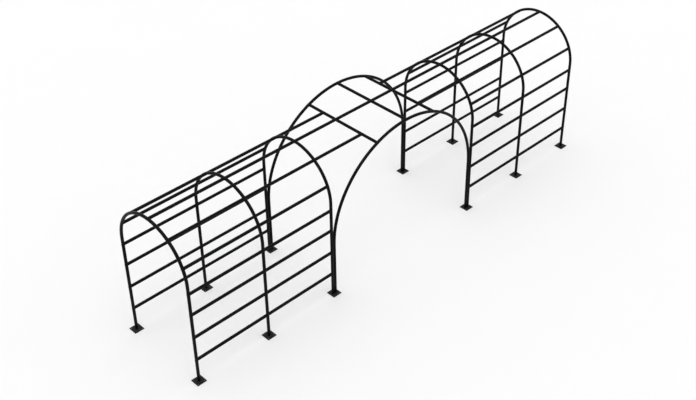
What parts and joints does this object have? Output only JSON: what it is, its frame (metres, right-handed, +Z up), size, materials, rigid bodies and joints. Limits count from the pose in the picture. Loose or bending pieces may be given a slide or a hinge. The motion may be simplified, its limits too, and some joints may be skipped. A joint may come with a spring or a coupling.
{
  "type": "garden trellis tunnel",
  "caption": "Round-topped garden trellis walkway in round steel tube, two tunnel sections joined over a crossing path by wide side arches, on square foot plates.",
  "frame": {"origin": "middle of the footprint, on the ground under the foot plates", "axes": "+X along the walkway, +Y across it towards the back, +Z up; the front is -Y"},
  "size_m": [8.5276, 1.66, 2.5082],
  "materials": {
    "frame_tube": "near-black satin powder coat on round steel tube",
    "foot_plate": "near-black satin powder coat, slightly duller with ground dust",
    "fixings": "black-coated socket-head screws",
    "zinc": "zinc-plated steel, hidden inside the tubes"
  },
  "bodies": {
    "root": {"hoop_1_front_leg": "frame_tube", "hoop_1_back_leg": "frame_tube", "hoop_2_front_leg": "frame_tube", "hoop_2_back_leg": "frame_tube", "hoop_3_front_leg": "frame_tube", "hoop_3_back_leg": "frame_tube", "hoop_4_front_leg": "frame_tube", "hoop_4_back_leg": "frame_tube", "hoop_5_front_leg": "frame_tube", "hoop_5_back_leg": "frame_tube", "hoop_6_front_leg": "frame_tube", "hoop_6_back_leg": "frame_tube", "hoop_1_bow": "frame_tube", "hoop_2_bow": "frame_tube", "hoop_3_bow": "frame_tube", "hoop_4_bow": "frame_tube", "hoop_5_bow": "frame_tube", "hoop_6_bow": "frame_tube", "front_arch_left_leg": "frame_tube", "front_arch_right_leg": "frame_tube", "back_arch_left_leg": "frame_tube", "back_arch_right_leg": "frame_tube", "front_arch_bow": "frame_tube", "back_arch_bow": "frame_tube", "foot_plate_1_front": "foot_plate", "foot_plate_1_back": "foot_plate", "foot_plate_2_front": "foot_plate", "foot_plate_2_back": "foot_plate", "foot_plate_3_front": "foot_plate", "foot_plate_3_back": "foot_plate", "foot_plate_4_front": "foot_plate", "foot_plate_4_back": "foot_plate", "foot_plate_5_front": "foot_plate", "foot_plate_5_back": "foot_plate", "foot_plate_6_front": "foot_plate", "foot_plate_6_back": "foot_plate", "front_leg_rails_1": "frame_tube", "front_leg_rails_2": "frame_tube", "front_leg_rails_3": "frame_tube", "front_leg_rails_4": "frame_tube", "back_leg_rails_1": "frame_tube", "back_leg_rails_2": "frame_tube", "back_leg_rails_3": "frame_tube", "back_leg_rails_4": "frame_tube", "front_shoulder_rails": "frame_tube", "back_shoulder_rails": "frame_tube", "front_haunch_rails": "frame_tube", "back_haunch_rails": "frame_tube", "ridge_rails": "frame_tube", "crossing_bar_left": "frame_tube", "crossing_bar_middle": "frame_tube", "crossing_bar_right": "frame_tube", "crossing_haunch_rails": "frame_tube", "crossing_ridge_rails": "frame_tube", "sleeves": "zinc", "sleeve_screws": "fixings", "rail_bolts": "fixings", "tie_bolts": "fixings", "rail_studs": "zinc", "end_nuts": "zinc"}
  },
  "joints": []
}
